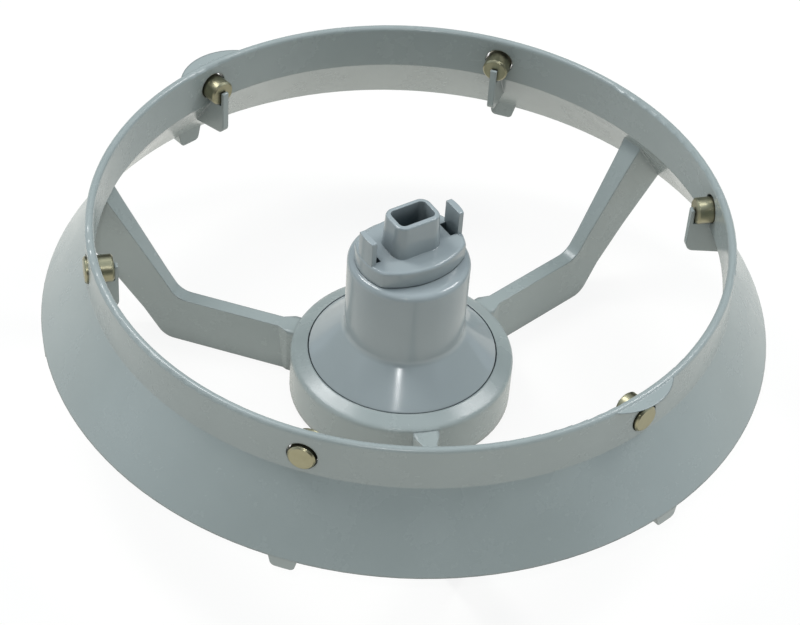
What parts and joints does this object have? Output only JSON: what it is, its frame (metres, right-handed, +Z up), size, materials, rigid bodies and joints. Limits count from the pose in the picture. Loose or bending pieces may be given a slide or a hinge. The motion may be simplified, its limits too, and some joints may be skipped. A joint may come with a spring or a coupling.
{
  "type": "food processor disc holder ring",
  "caption": "Spoked ring that carries the rim of a turning disc on rollers in its wall, with a bell-shaped hub sleeve and a turning drive coupling.",
  "frame": {"origin": "on the ring's axis, on the plane that the undersides of the arms stand on", "axes": "+Z up along the ring's axis, towards the rim and the drive socket; -Y towards the picture's viewer"},
  "size_m": [0.2062, 0.2062, 0.0686],
  "materials": {
    "ring_plastic": "semi-gloss moulded grey plastic",
    "coupling_plastic": "semi-gloss moulded grey plastic",
    "roller_metal": "turned, slightly dulled",
    "clip_steel": "spring steel"
  },
  "bodies": {
    "carrier": {"carrier_ring": "ring_plastic", "spindle_sleeve": "ring_plastic"},
    "coupling": {"drive_coupling": "coupling_plastic", "retaining_clip": "clip_steel"},
    "roller_1": {"roller_1": "roller_metal"},
    "roller_2": {"roller_2": "roller_metal"},
    "roller_3": {"roller_3": "roller_metal"},
    "roller_4": {"roller_4": "roller_metal"},
    "roller_5": {"roller_5": "roller_metal"},
    "roller_6": {"roller_6": "roller_metal"}
  },
  "joints": [
    {"name": "coupling_spin", "type": "hinge", "parent": "carrier", "child": "coupling", "pos_m": [0, 0, 0.04], "axis": [0, 0, 1], "continuous": true},
    {"name": "roller_1_spin", "type": "hinge", "parent": "carrier", "child": "roller_1", "pos_m": [0.08355, 0.02239, 0.0595], "axis": [0.9659, 0.2588, 0], "continuous": true},
    {"name": "roller_2_spin", "type": "hinge", "parent": "carrier", "child": "roller_2", "pos_m": [0.02239, 0.08355, 0.0595], "axis": [0.2588, 0.9659, 0], "continuous": true},
    {"name": "roller_3_spin", "type": "hinge", "parent": "carrier", "child": "roller_3", "pos_m": [-0.06116, 0.06116, 0.0595], "axis": [-0.7071, 0.7071, 0], "continuous": true},
    {"name": "roller_4_spin", "type": "hinge", "parent": "carrier", "child": "roller_4", "pos_m": [-0.08355, -0.02239, 0.0595], "axis": [-0.9659, -0.2588, 0], "continuous": true},
    {"name": "roller_5_spin", "type": "hinge", "parent": "carrier", "child": "roller_5", "pos_m": [-0.02239, -0.08355, 0.0595], "axis": [-0.2588, -0.9659, 0], "continuous": true},
    {"name": "roller_6_spin", "type": "hinge", "parent": "carrier", "child": "roller_6", "pos_m": [0.06116, -0.06116, 0.0595], "axis": [0.7071, -0.7071, 0], "continuous": true}
  ]
}
